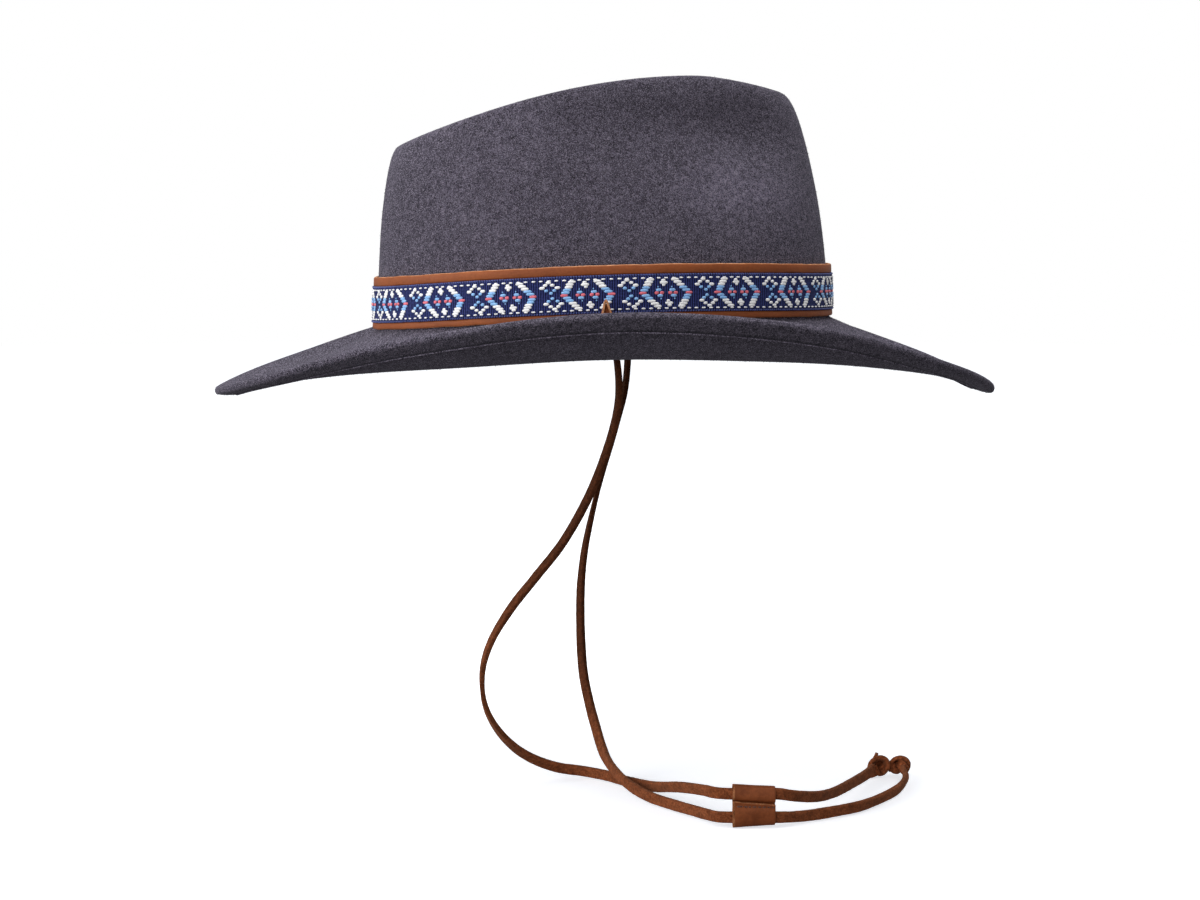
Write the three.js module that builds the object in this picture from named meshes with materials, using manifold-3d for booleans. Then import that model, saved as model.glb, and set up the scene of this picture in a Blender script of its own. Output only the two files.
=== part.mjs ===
// Felt hat: a pinched teardrop crown and a brim rolled up at the sides, felted in one piece, with a
// leather band, a woven ribbon, and a chin strap of two flat laces that share a leather slider.
// Millimetres, Z up, +X to the front of the hat, +Y to the wearer's left. The origin is the middle
// of the head opening, level with the fold where crown and brim meet.

import * as THREE from 'three';
import { mergeVertices } from 'three/addons/utils/BufferGeometryUtils.js';
import Module from 'manifold-3d';

const wasm = await Module();
wasm.setup();

const GAP = 0.3;
const FELT = 2.6;
// The brim's edge is turned under and pressed flat, so it is thick over that width. Its rim is
// rounded, standing out past the faces at angles round from the upper face to the lower one
const TURNED = { wide: 8.3, thick: 4 };
const RIM = { out: 1.4, angles: [45, 90, 135] };

// The fold between crown and brim: an oval that rises to the front and at both sides
const HEAD_LENGTH = 204.6;
const HEAD_WIDTH = 170.8;
const FRONT_TILT = 1.7;
const SIDE_RISE = 4.2;
// The nearly upright stretch of the crown's wall where the band sits, and its lean in per height
const SEAT = 22;
const SEAT_LEAN = 0.03;
// How far up the seat and out along the brim the fold is eased
const FOLD = { up: 0.8, out: 4 };

// The ridge along the top of the crown, a teardrop seen from above and an arch seen from the side
const RIDGE = { middle: -6, halfLength: 80.5, halfBack: 63, halfFront: 40, narrowing: 1.25 };
const RIDGE_TOP = { x: 41, z: 110.4 };
const RIDGE_BACK = { run: 120, fall: 26.9, power: 1.84 };
const RIDGE_FRONT = { run: 40, fall: 7.2, power: 1.35 };
const CREASE_DEPTH = 24;
// The dent that fingers leave at each side of the front, short ahead and running out behind
const PINCH = { x: 57, z: 80.5, ahead: 27, behind: 75, height: 21, depth: 14.5, most: 0.6 };

// Sections from the front (0 degrees) round to the back (180), alike on both sides. In the crown,
// taper is the share of the wall's lean below its shoulder, ease is above 1 where that starts
// upright, and round is how square the shoulder is. The brim is width wide along its slope, which
// goes from leave through middle to rim, in degrees.
const SECTIONS = [
  { angle: 0, taper: 0.52, ease: 1, round: 3.7, leave: -20, middle: -26, rim: -14, width: 80.5 },
  { angle: 30, taper: 0.6, ease: 1.2, round: 4.2, leave: -29, middle: -16.5, rim: 12.4, width: 79.1 },
  { angle: 60, taper: 0.85, ease: 2, round: 6, leave: -43, middle: 0, rim: 44, width: 78.7 },
  { angle: 90, taper: 0.9, ease: 2, round: 7, leave: -47, middle: 8, rim: 46, width: 78.8 },
  { angle: 120, taper: 0.85, ease: 1.6, round: 7, leave: -43.5, middle: 0, rim: 35, width: 78.2 },
  { angle: 150, taper: 0.5, ease: 1.1, round: 5, leave: -29, middle: -14, rim: 5, width: 77.3 },
  { angle: 180, taper: 0.44, ease: 1, round: 4.6, leave: -22, middle: -25, rim: 8, width: 76.8 },
];

const COLUMNS = 60;
const CREASE_ROWS = 5;
const WALL_ROWS = 9;
// Above 1, the wall's rows stand closer towards the seat
const WALL_SPREAD = 1.15;
const BRIM_ROWS = 7;
const BRIM_STEPS = 48;

// Band and ribbon: heights above the fold, and thickness. The ribbon lies in a shallow channel
// pressed along the band, so its face comes out about level with the band's.
const BAND = { low: 0.8, high: 24, thick: 1.6, ease: 0.4 };
const CHANNEL = { low: 3.5, high: 20.1, deep: 0.6 };
const RIBBON = { low: CHANNEL.low + GAP, high: CHANNEL.high - GAP, thick: 0.6 };

// Flat suede lace, and the hole beside the band that it comes through
const LACE = { width: 4.8, thick: 2.2, corner: 0.5 };
const LACE_STEPS = 60;
const LACE_HOLE = { radius: 3.3, deep: 24, sides: 12 };

// The slider seen along the laces, drawn in between its two tunnels: its thickness to either side
// at a height above and below its middle
const SLIDER_PROFILE = [
  { up: 0, half: 1.8 }, { up: 1.9, half: 2.5 }, { up: 3.8, half: 3.2 },
  { up: 6.9, half: 3.2 }, { up: 8.4, half: 2 }, { up: 8.9, half: 0 },
];
const SLIDER_LENGTH = 18.2;
const SLIDER_AT = { x: 61.8, y: -100, z: -201.1 };
const TUNNEL = { width: LACE.width + 0.9, thick: LACE.thick + 1, apart: 10.2 };

// Where each lace runs, from its stopper knot through the brim and the slider to its end knot, and
// how it turns on the way: at a part of its length, the degrees that its broad side leans out of
// the side view of the hat
const LACE_RIGHT = {
  route: [
    [2.6, -93.6, -0.2], [3.2, -93.8, -8], [4.4, -93.5, -20], [4.2, -91, -30.8], [0.7, -86, -47.1],
    [-7.2, -78, -69.3], [-19, -68.5, -92], [-30.7, -61, -108], [-41.4, -54, -122.5],
    [-50, -46.5, -137.6], [-54, -39, -150.2], [-54.6, -30.5, -163.1], [-51.8, -20, -176.5],
    [-44.4, -9, -189.6], [-34.4, 0, -199.3], [-21.4, 5.5, -205.5], [-9.4, 6, -207.5],
    [0.6, -3, -207.6], [10.2, -18, -207.4], [21.2, -42, -204.9], [32, -70, -199.4],
    [41.2, -91, -196.4], [45.6, -98, -196], [50.5, -100, -196], [60, -100, -196],
    [72.5, -100, -196.2], [77.6, -97.6, -197.4], [83, -91.4, -199.2], [91.8, -77, -202.3],
    [101.2, -55.5, -205], [111.4, -31, -206.3], [121.4, -7, -206.9], [125.2, 0.9, -206.2],
  ],
  turn: [
    { part: 0, lean: 85 }, { part: 0.1, lean: 72 }, { part: 0.26, lean: 70 },
    { part: 0.36, lean: 88 }, { part: 0.43, lean: 50 }, { part: 0.5, lean: 15 },
    { part: 0.56, lean: 5 }, { part: 1, lean: 5 },
  ],
};
const LACE_LEFT = {
  route: [
    [14.6, 93.6, -0.2], [14.8, 93.6, -10], [14.6, 93.5, -24], [13.1, 92.3, -38], [10, 90.5, -50.1],
    [6.6, 87.5, -62.1], [2.9, 84, -74], [-0.5, 79.5, -85.7], [-4.9, 72.5, -103.1],
    [-7.2, 68, -114.7], [-8.9, 60.5, -130.7], [-9, 49.5, -153.2], [-7.9, 40, -168.4],
    [-5.4, 31, -180.2], [-2.5, 20, -190.2], [0.4, 6, -198.2], [4.6, -16, -202.4],
    [11.1, -37, -205.3], [19.1, -54, -206.9], [28.8, -70, -207.1], [38, -86, -206.6],
    [42.4, -94.4, -206.2], [46.6, -99, -206.2], [51.5, -100, -206.2], [61, -100, -206.2],
    [73, -100, -206.3], [78.6, -97.2, -206.8], [86.9, -90.5, -207.6], [98.4, -82.8, -207.6],
    [110.5, -72.6, -207.6], [122.5, -55.1, -207.6], [131.9, -36.4, -207.6], [137.7, -15, -207.6],
    [139.6, 1, -206.6],
  ],
  turn: [
    { part: 0, lean: 67 }, { part: 0.18, lean: 88 }, { part: 0.28, lean: 69 },
    { part: 0.4, lean: 48 }, { part: 0.52, lean: 30 }, { part: 0.6, lean: 8 },
    { part: 0.78, lean: 8 }, { part: 0.86, lean: 22 }, { part: 1, lean: 8 },
  ],
};

// The knots at the laces' free ends: a ball with a ring of lace round it
const END_KNOT = { long: 9.2, thick: 8.2, wrap: 3.4, skew: 28 };
const KNOT_RIGHT = { x: 128, y: 4.9, z: -204.9, turn: 63, high: 9.6, ring: 10.4 };
const KNOT_LEFT = { x: 137.8, y: 6.2, z: -205.4, turn: 126, high: 8.4, ring: 9.2 };
// The knots above the brim, each with the lace's folded end standing up, set back from the lace
const STOPPER = { long: 9.6, thick: 7.4, high: 7.6, above: 3.4, back: 3.1 };
const STOPPER_TIP = { width: 5.4, thick: 1.6, low: 1.9, high: 11.3 };
const KNOT_FACES = { round: 12, along: 8, ring: 14 };

const leather = (name, color, roughness) => new THREE.MeshStandardMaterial({ name, color, roughness });
const bandLeather = leather('band_leather', 0x8a4a26, 0.6);
const sliderLeather = leather('slider_leather', 0x6b371b, 0.65);
const suede = leather('lace_suede', 0x5e3019, 0.9);
const felt = new THREE.MeshStandardMaterial({ name: 'felt', color: 0x4c4a58, roughness: 0.95 });
const weave = new THREE.MeshStandardMaterial({ name: 'ribbon_weave', color: 0x23285e, roughness: 0.8 });

const radians = THREE.MathUtils.degToRad;
const { lerp, clamp, smoothstep } = THREE.MathUtils;
const vector = (x, y, z) => new THREE.Vector3(x, y, z);
const plane = (points) => points.map(([x, y]) => new THREE.Vector2(x, y));

// One column of the table of sections at any angle, smooth through its rows
function around(column, degrees) {
  const last = SECTIONS.length - 1;
  const turn = Math.abs(THREE.MathUtils.euclideanModulo(degrees + 180, 360) - 180);
  const place = (turn / 180) * last;
  const row = Math.min(Math.floor(place), last - 1);
  const t = place - row;
  const value = (index) => {
    const mirrored = index < 0 ? -index : index > last ? 2 * last - index : index;
    return SECTIONS[mirrored][column];
  };
  const [a, b, c, d] = [value(row - 1), value(row), value(row + 1), value(row + 2)];
  const bend = (2 * a - 5 * b + 4 * c - d) * t * t + (3 * b - a - 3 * c + d) * t ** 3;
  return 0.5 * (2 * b + (c - a) * t + bend);
}

// A point of the fold, and the level direction straight out from it
function fold(degrees) {
  const t = radians(degrees);
  const x = (HEAD_LENGTH / 2) * Math.cos(t);
  const y = (HEAD_WIDTH / 2) * Math.sin(t);
  const z = x * Math.tan(radians(FRONT_TILT)) + SIDE_RISE * Math.sin(t) ** 2;
  const out = vector(HEAD_WIDTH * Math.cos(t), HEAD_LENGTH * Math.sin(t), 0).normalize();
  return { point: vector(x, y, z), out };
}

function ridgeHeight(x) {
  const side = x < RIDGE_TOP.x ? RIDGE_BACK : RIDGE_FRONT;
  return RIDGE_TOP.z - side.fall * (Math.abs(x - RIDGE_TOP.x) / side.run) ** side.power;
}

function ridgePoint(degrees) {
  const t = radians(degrees);
  const x = RIDGE.middle + RIDGE.halfLength * Math.cos(t);
  const back = clamp((1 - Math.cos(t)) * 0.5 * RIDGE.narrowing, 0, 1);
  const half = lerp(RIDGE.halfFront, RIDGE.halfBack, 0.5 - 0.5 * Math.cos(Math.PI * back));
  return vector(x, half * Math.sin(t), ridgeHeight(x));
}

function pinched(point) {
  const reach = point.x > PINCH.x ? PINCH.ahead : PINCH.behind;
  const along = (point.x - PINCH.x) / reach;
  const up = (point.z - PINCH.z) / PINCH.height;
  const push = PINCH.depth * Math.exp(-along * along - up * up);
  const y = point.y - Math.sign(point.y) * Math.min(push, Math.abs(point.y) * PINCH.most);
  return vector(point.x, y, point.z);
}

// The crown's wall, from the top of the seat (0) to the ridge (1)
function wallPoint(degrees, climb) {
  const { point, out } = fold(degrees);
  const start = point.addScaledVector(out, -SEAT * SEAT_LEAN).add(vector(0, 0, SEAT));
  const ridge = ridgePoint(degrees);
  const round = around('round', degrees);
  const [taper, ease] = [around('taper', degrees), around('ease', degrees)];
  const swing = (climb * Math.PI) / 2;
  const rise = Math.sin(swing) ** (2 / round);
  const shoulder = 1 - Math.max(Math.cos(swing), 0) ** (2 / round);
  const lean = taper * rise ** ease + (1 - taper) * shoulder;
  return pinched(vector(
    lerp(start.x, ridge.x, lean),
    lerp(start.y, ridge.y, lean),
    lerp(start.z, ridge.z, rise),
  ));
}

// The crease in the top, from the ridge (0) to its middle (1)
function creasePoint(degrees, inward) {
  const ridge = ridgePoint(degrees);
  const x = lerp(ridge.x, RIDGE.middle, inward);
  const y = ridge.y * (1 - inward);
  const z = ridgeHeight(x) - CREASE_DEPTH * smoothstep(inward, 0, 1);
  return pinched(vector(x, y, z));
}

// The brim's section: how far out and up it has come at a distance along its slope
function brimPoint(degrees, along) {
  const { point, out } = fold(degrees);
  const width = around('width', degrees);
  const [leave, middle, rim] = ['leave', 'middle', 'rim'].map((name) => around(name, degrees));
  const step = along / BRIM_STEPS;
  let reach = 0;
  let rise = 0;
  for (let i = 0; i < BRIM_STEPS; i++) {
    const s = ((i + 0.5) * step) / width;
    const slope = leave * (1 - s) * (1 - 2 * s) + 4 * middle * s * (1 - s) + rim * s * (2 * s - 1);
    reach += step * Math.cos(radians(slope));
    rise += step * Math.sin(radians(slope));
  }
  return point.clone().addScaledVector(out, reach).add(vector(0, 0, rise));
}

// The fold is eased from the seat into the brim
function foldPoint(degrees, t) {
  const { point } = fold(degrees);
  const start = point.clone().setZ(point.z + FOLD.up);
  const end = brimPoint(degrees, FOLD.out);
  return start.lerp(point, t).lerp(point.clone().lerp(end, t), t);
}

const ringOf = (count, make) => Array.from({ length: count }, (_, i) => make((i * 360) / count));

// The felt's upper face as rings, from next to the middle of the crease out to the rim
function upperRings() {
  const rings = [];
  for (let i = CREASE_ROWS - 1; i > 0; i--) {
    rings.push(ringOf(COLUMNS, (angle) => creasePoint(angle, i / CREASE_ROWS)));
  }
  for (let i = WALL_ROWS; i >= 0; i--) {
    rings.push(ringOf(COLUMNS, (angle) => wallPoint(angle, (i / WALL_ROWS) ** WALL_SPREAD)));
  }
  for (const t of [0, 0.5, 1]) {
    rings.push(ringOf(COLUMNS, (angle) => foldPoint(angle, t)));
  }
  for (let i = 1; i <= BRIM_ROWS; i++) {
    rings.push(ringOf(COLUMNS, (angle) => {
      const plain = around('width', angle) - TURNED.wide;
      return brimPoint(angle, lerp(FOLD.out, plain, i / BRIM_ROWS));
    }));
  }
  rings.push(ringOf(COLUMNS, (angle) => brimPoint(angle, around('width', angle))));
  return rings;
}

// The felt's lower face: each ring moved through the felt, square to the upper face, with a step at
// the turned edge
function lowerRings(rings, middle) {
  const moved = (i, thick) => rings[i].map((point, j) => {
    const before = i > 0 ? rings[i - 1][j] : middle;
    const after = rings[Math.min(i + 1, rings.length - 1)][j];
    const left = rings[i][(j + 1) % COLUMNS];
    const right = rings[i][(j + COLUMNS - 1) % COLUMNS];
    const down = after.clone().sub(before);
    const across = left.clone().sub(right);
    const normal = down.cross(across).normalize();
    return point.clone().addScaledVector(normal, -thick);
  });
  const step = rings.length - 2;
  const plain = rings.slice(0, step + 1).map((_, i) => moved(i, FELT));
  const turned = rings.slice(step).map((_, i) => moved(step + i, TURNED.thick));
  return [...plain, ...turned];
}

// The rounded rim, between the last rings of the two faces
function rimRings(upper, lower) {
  const [before, top] = upper.slice(-2);
  const bottom = lower[lower.length - 1];
  return RIM.angles.map((angle) => top.map((point, j) => {
    const out = point.clone().sub(before[j]).normalize();
    const down = 0.5 - 0.5 * Math.cos(radians(angle));
    return point.clone().lerp(bottom[j], down).addScaledVector(out, RIM.out * Math.sin(radians(angle)));
  }));
}

// A closed skin through rings of points, with a single point at each end
function closedSkin(first, rings, last) {
  const count = rings[0].length;
  const points = [first, ...rings.flat(), last];
  const faces = [];
  const at = (row, column) => 1 + row * count + (column % count);
  for (let j = 0; j < count; j++) {
    faces.push(0, at(0, j), at(0, j + 1));
    for (let i = 0; i < rings.length - 1; i++) {
      faces.push(at(i, j), at(i + 1, j), at(i + 1, j + 1));
      faces.push(at(i, j), at(i + 1, j + 1), at(i, j + 1));
    }
    faces.push(points.length - 1, at(rings.length - 1, j + 1), at(rings.length - 1, j));
  }
  const geometry = new THREE.BufferGeometry().setFromPoints(points);
  geometry.setIndex(faces);
  return geometry;
}

// A closed hoop round the crown's seat, its section given as [out, up] from the fold
function hoop(section) {
  const count = section.length;
  const points = ringOf(COLUMNS, (angle) => {
    const { point, out } = fold(angle);
    return section.map(([away, up]) => {
      return point.clone().addScaledVector(out, away - up * SEAT_LEAN).add(vector(0, 0, up));
    });
  }).flat();
  const faces = [];
  for (let j = 0; j < COLUMNS; j++) {
    for (let i = 0; i < count; i++) {
      const [a, b] = [j * count + i, j * count + ((i + 1) % count)];
      const next = ((j + 1) % COLUMNS) * count;
      const [c, d] = [next + i, next + ((i + 1) % count)];
      faces.push(a, c, d);
      faces.push(a, d, b);
    }
  }
  const geometry = new THREE.BufferGeometry().setFromPoints(points);
  geometry.setIndex(faces);
  return geometry;
}

// Sections are counter-clockwise with the felt on their left
function bandSection() {
  const { low, high, thick, ease } = BAND;
  const face = GAP + thick;
  return [
    [GAP, low], [face - ease, low], [face, low + ease],
    [face, CHANNEL.low], [face - CHANNEL.deep, CHANNEL.low],
    [face - CHANNEL.deep, CHANNEL.high], [face, CHANNEL.high],
    [face, high - ease], [face - ease, high], [GAP, high],
  ];
}

function ribbonSection() {
  const { low, high, thick } = RIBBON;
  const back = GAP + BAND.thick - CHANNEL.deep + GAP;
  return [[back, low], [back + thick, low], [back + thick, high], [back, high]];
}

function solidOf(geometry) {
  const bare = geometry.clone();
  bare.deleteAttribute('normal');
  bare.deleteAttribute('uv');
  const merged = mergeVertices(bare, 1e-4);
  return new wasm.Manifold(new wasm.Mesh({
    numProp: 3,
    vertProperties: new Float32Array(merged.attributes.position.array),
    triVerts: new Uint32Array(merged.index.array),
  }));
}

function geometryOf(solid) {
  const { vertProperties, triVerts } = solid.getMesh();
  const geometry = new THREE.BufferGeometry();
  geometry.setAttribute('position', new THREE.BufferAttribute(new Float32Array(vertProperties), 3));
  geometry.setIndex(new THREE.BufferAttribute(new Uint32Array(triVerts), 1));
  return geometry;
}

function joined(...geometries) {
  return geometryOf(geometries.map(solidOf).reduce((sum, solid) => sum.add(solid)));
}

function cut(...geometries) {
  return geometryOf(geometries.map(solidOf).reduce((rest, solid) => rest.subtract(solid)));
}

function feltBody() {
  const middle = creasePoint(0, 1);
  const upper = upperRings();
  const lower = lowerRings(upper, middle);
  const rim = rimRings(upper, lower);
  const under = middle.clone().setZ(middle.z - FELT);
  const skin = closedSkin(middle, [...upper, ...rim, ...lower.reverse()], under);
  const holes = [LACE_RIGHT, LACE_LEFT].map(({ route }) => {
    const [top, below] = route;
    const { radius, deep, sides } = LACE_HOLE;
    const drill = new THREE.CylinderGeometry(radius, radius, deep, sides).rotateX(Math.PI / 2);
    return drill.translate((top[0] + below[0]) / 2, top[1], 0);
  });
  return cut(skin, ...holes);
}

// A lace's centre line, with the lace turned about it
class LaceCurve extends THREE.CatmullRomCurve3 {
  constructor({ route, turn }) {
    super(route.map((point) => vector(...point)), false, 'centripetal');
    this.turn = turn;
  }

  leanAt(part) {
    const next = Math.max(this.turn.findIndex((row) => row.part >= part), 1);
    const [from, to] = [this.turn[next - 1], this.turn[next]];
    return THREE.MathUtils.mapLinear(part, from.part, to.part, from.lean, to.lean);
  }

  // The section's first direction is the lace's width
  computeFrenetFrames(segments) {
    const frames = { tangents: [], normals: [], binormals: [] };
    for (let i = 0; i <= segments; i++) {
      const tangent = this.getTangentAt(i / segments);
      const inView = vector(-tangent.z, 0, tangent.x).normalize();
      const lean = radians(this.leanAt(i / segments));
      const width = inView.clone().applyAxisAngle(tangent, lean);
      frames.tangents.push(tangent);
      frames.normals.push(width);
      frames.binormals.push(tangent.clone().cross(width));
    }
    return frames;
  }
}

function lace(strand) {
  const { width, thick, corner } = LACE;
  const [w, t] = [width / 2, thick / 2];
  const outline = [
    [w, t - corner], [w - corner, t], [corner - w, t], [-w, t - corner],
    [-w, corner - t], [corner - w, -t], [w - corner, -t], [w, corner - t],
  ];
  const extrudePath = new LaceCurve(strand);
  return new THREE.ExtrudeGeometry(new THREE.Shape(plane(outline)), { steps: LACE_STEPS, extrudePath });
}

// Leather wrapped round both laces
function slider() {
  const upper = SLIDER_PROFILE.map(({ up, half }) => [half, up]);
  const right = [...upper].reverse().map(([x, y]) => [x, -y]).slice(0, -1).concat(upper);
  const left = right.slice(1, -1).reverse().map(([x, y]) => [-x, y]);
  const outline = new THREE.Shape(plane([...right, ...left]));
  const [w, d] = [TUNNEL.width / 2, TUNNEL.thick / 2];
  for (const middle of [-TUNNEL.apart / 2, TUNNEL.apart / 2]) {
    const [low, high] = [middle - w, middle + w];
    outline.holes.push(new THREE.Path(plane([[-d, low], [d, low], [d, high], [-d, high]])));
  }
  const body = new THREE.ExtrudeGeometry(outline, { depth: SLIDER_LENGTH, bevelEnabled: false });
  return body.translate(0, 0, -SLIDER_LENGTH / 2);
}

function ball(long, thick, high) {
  return new THREE.SphereGeometry(0.5, KNOT_FACES.round, KNOT_FACES.along).scale(long, thick, high);
}

function endKnot({ high, ring }) {
  const { long, thick, wrap, skew } = END_KNOT;
  const round = new THREE.TorusGeometry((ring - wrap) / 2, wrap / 2, KNOT_FACES.along, KNOT_FACES.ring);
  return joined(ball(long, thick, high), round.rotateY(Math.PI / 2).rotateZ(radians(skew)));
}

function stopperKnot() {
  const { width, thick, low, high } = STOPPER_TIP;
  const fold = new THREE.Shape(plane([[-width / 2, low], [width / 2, low], [0, high]]));
  const tip = new THREE.ExtrudeGeometry(fold, { depth: thick, bevelEnabled: false });
  const knot = ball(STOPPER.long, STOPPER.thick, STOPPER.high);
  return joined(knot, tip.translate(0, 0, -thick / 2).rotateX(Math.PI / 2));
}

function stopperPlace({ route }) {
  const [x, y] = route[0];
  return { x: x - STOPPER.back, y, z: STOPPER.above };
}

const hat = new THREE.Group();

function place(name, geometry, material, at = { x: 0, y: 0, z: 0 }) {
  const mesh = new THREE.Mesh(geometry, material);
  mesh.name = name;
  mesh.position.set(at.x, at.y, at.z);
  hat.add(mesh);
  return mesh;
}

place('felt_body', feltBody(), felt);
place('leather_band', hoop(bandSection()), bandLeather);
place('woven_ribbon', hoop(ribbonSection()), weave);
place('lace_right', lace(LACE_RIGHT), suede);
place('lace_left', lace(LACE_LEFT), suede);
place('slider', slider(), sliderLeather, SLIDER_AT).rotation.set(Math.PI / 2, Math.PI / 2, 0);
place('end_knot_right', endKnot(KNOT_RIGHT), suede, KNOT_RIGHT).rotation.z = radians(KNOT_RIGHT.turn);
place('end_knot_left', endKnot(KNOT_LEFT), suede, KNOT_LEFT).rotation.z = radians(KNOT_LEFT.turn);
place('stopper_knot_right', stopperKnot(), suede, stopperPlace(LACE_RIGHT));
place('stopper_knot_left', stopperKnot(), suede, stopperPlace(LACE_LEFT));

export default hat;
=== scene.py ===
"""Felt hat with a leather band, a woven ribbon and a chin strap of flat laces.

Metres, Z up, +X to the front of the hat. Tables of sizes are in millimetres."""

import random
from bisect import bisect_right
from math import cos, pi, radians, sin, sqrt, tan

import bmesh
import bpy
import numpy as np
from mathutils import Matrix, Vector, noise


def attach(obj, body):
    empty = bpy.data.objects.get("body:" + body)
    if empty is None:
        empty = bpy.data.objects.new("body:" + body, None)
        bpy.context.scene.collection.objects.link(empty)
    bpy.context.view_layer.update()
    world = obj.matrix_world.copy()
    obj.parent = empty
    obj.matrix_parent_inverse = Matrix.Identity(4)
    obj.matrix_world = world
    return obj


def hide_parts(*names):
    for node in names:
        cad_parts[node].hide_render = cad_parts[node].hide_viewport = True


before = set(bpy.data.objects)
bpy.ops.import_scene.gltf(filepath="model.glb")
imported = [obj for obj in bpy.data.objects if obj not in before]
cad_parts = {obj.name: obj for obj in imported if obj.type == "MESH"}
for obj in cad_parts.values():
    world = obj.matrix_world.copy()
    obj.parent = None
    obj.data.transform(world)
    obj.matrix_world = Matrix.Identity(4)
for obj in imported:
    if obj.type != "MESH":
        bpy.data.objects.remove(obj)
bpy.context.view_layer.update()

MM = 0.001
X, Y, Z = Vector((1, 0, 0)), Vector((0, 1, 0)), Vector((0, 0, 1))

# The height of the floor, on which the free ends of the laces rest
FLOOR = -210.9

# The camera's place, and how many degrees it looks down and to the right
CAMERA_AT = (-33.7, -1286.3, 56.2)
CAMERA_DOWN = 5.07
CAMERA_RIGHT = 1.449
LENS = 85
SENSOR = 36

# The oval of the fold between crown and brim, how many degrees it is tilted and how far its sides
# rise, and how far the seat that the band lies on leans in for each millimetre up
HEAD_LENGTH = 204.6
HEAD_WIDTH = 170.8
FRONT_TILT = 1.7
SIDE_RISE = 4.2
SEAT_LEAN = 0.03

# Flat suede lace: its route, the degrees that its broad side leans at a part of its length, and how
# light its suede is painted at a height. That is painted shade: darker up towards the brim, in the
# shadow of the hat.
LACE = {"width": 4.8, "thick": 2.2, "corner": 0.45}
LACE_STEP = 1.6
LACE_RIGHT = {
    "route": (
        (2.6, -93.6, -0.2), (3.2, -93.8, -8), (4.4, -93.5, -20), (4.2, -91, -30.8),
        (0.7, -86, -47.1), (-7.2, -78, -69.3), (-19, -68.5, -92), (-30.7, -61, -108),
        (-41.4, -54, -122.5), (-50, -46.5, -137.6), (-54, -39, -150.2), (-54.6, -30.5, -163.1),
        (-51.8, -20, -176.5), (-44.4, -9, -189.6), (-34.4, 0, -199.3), (-21.4, 5.5, -205.5),
        (-9.4, 6, -207.5), (0.6, -3, -207.6), (10.2, -18, -207.4), (21.2, -42, -204.9),
        (32, -70, -199.4), (41.2, -91, -196.4), (45.6, -98, -196), (50.5, -100, -196),
        (60, -100, -196), (72.5, -100, -196.2), (77.6, -97.6, -197.4), (83, -91.4, -199.2),
        (91.8, -77, -202.3), (101.2, -55.5, -205), (111.4, -31, -206.3), (121.4, -7, -206.9),
        (125.2, 0.9, -206.2),
    ),
    "turn": (
        (0, 85), (0.1, 64), (0.26, 62), (0.36, 88), (0.43, 50), (0.5, 15), (0.56, 5), (1, 5),
    ),
    "painted_shading": (
        (-200, 0.9), (-190, 0.8), (-150, 0.66), (-141, 0.84), (-131, 0.56), (-112, 0.42),
        (-90, 0.32),
    ),
}
LACE_LEFT = {
    "route": (
        (14.6, 93.6, -0.2), (14.8, 93.6, -10), (14.6, 93.5, -24), (13.1, 92.3, -38),
        (10, 90.5, -50.1), (6.6, 87.5, -62.1), (2.9, 84, -74), (-0.5, 79.5, -85.7),
        (-4.9, 72.5, -103.1), (-7.2, 68, -114.7), (-8.9, 60.5, -130.7), (-9, 49.5, -153.2),
        (-7.9, 40, -168.4), (-5.4, 31, -180.2), (-2.5, 20, -190.2), (0.4, 6, -198.2),
        (4.6, -16, -202.4), (11.1, -37, -205.3), (19.1, -54, -206.9), (28.8, -70, -207.1),
        (38, -86, -206.6), (42.4, -94.4, -206.2), (46.6, -99, -206.2), (51.5, -100, -206.2),
        (61, -100, -206.2), (73, -100, -206.3), (78.6, -97.2, -206.8), (86.9, -90.5, -207.6),
        (98.4, -82.8, -207.6), (110.5, -72.6, -207.6), (122.5, -55.1, -207.6),
        (131.9, -36.4, -207.6), (137.7, -15, -207.6), (139.6, 1, -206.6),
    ),
    "turn": (
        (0, 67), (0.18, 88), (0.28, 58), (0.4, 40), (0.52, 30), (0.6, 8), (0.78, 8), (0.86, 22),
        (1, 8),
    ),
    "painted_shading": ((-200, 0.9), (-190, 0.72), (-173, 0.4), (-155, 0.29), (-115, 0.34), (-90, 0.24)),
}

# Leather band, the channel in it and the woven ribbon, as heights above the fold and distances out
# from it. The band's edges are eased, and its hoop and the ribbon's are cut into HOOP_STEPS.
BAND = {"inside": 0.3, "face": 1.9, "low": 0.8, "high": 24, "ease": 0.62}
CHANNEL = {"low": 3.5, "high": 20.1, "floor": 1.3}
RIBBON = {"low": 3.8, "high": 19.8, "back": 1.6, "face": 2.2}
HOOP_STEPS = 480

# The ribbon's figure, charted. It repeats REPEATS times round the crown. A pitch is a tenth of a
# repeat along the ribbon, and a row is one thread's height. Each float lies at (along, row) from
# the middle of a diamond and is long and high, all in pitches and rows. The first diamond stands
# PHASE off the middle of the hat's right side, and the columns slant back.
REPEATS = 18
ROW = 1.14
PHASE = -8.4
COLUMN_SLANT = 0.27
# How thick a float is, how far its middle stands off the ribbon's face, and how unevenly
FLOAT = {"thick": 0.62, "off": 0.1, "uneven": 0.08}
# Floats that lie in the middle of the ribbon's height, one on each side of the figure's middle
FLOATS_LEVEL = (
    {"shade": "coral", "along": 3.0, "long": 0.98, "high": 1.1},
    {"shade": "coral", "along": 0.55, "long": 0.54, "high": 1.2},
    {"shade": "coral", "along": 1.25, "long": 0.54, "high": 1.2},
)
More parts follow.
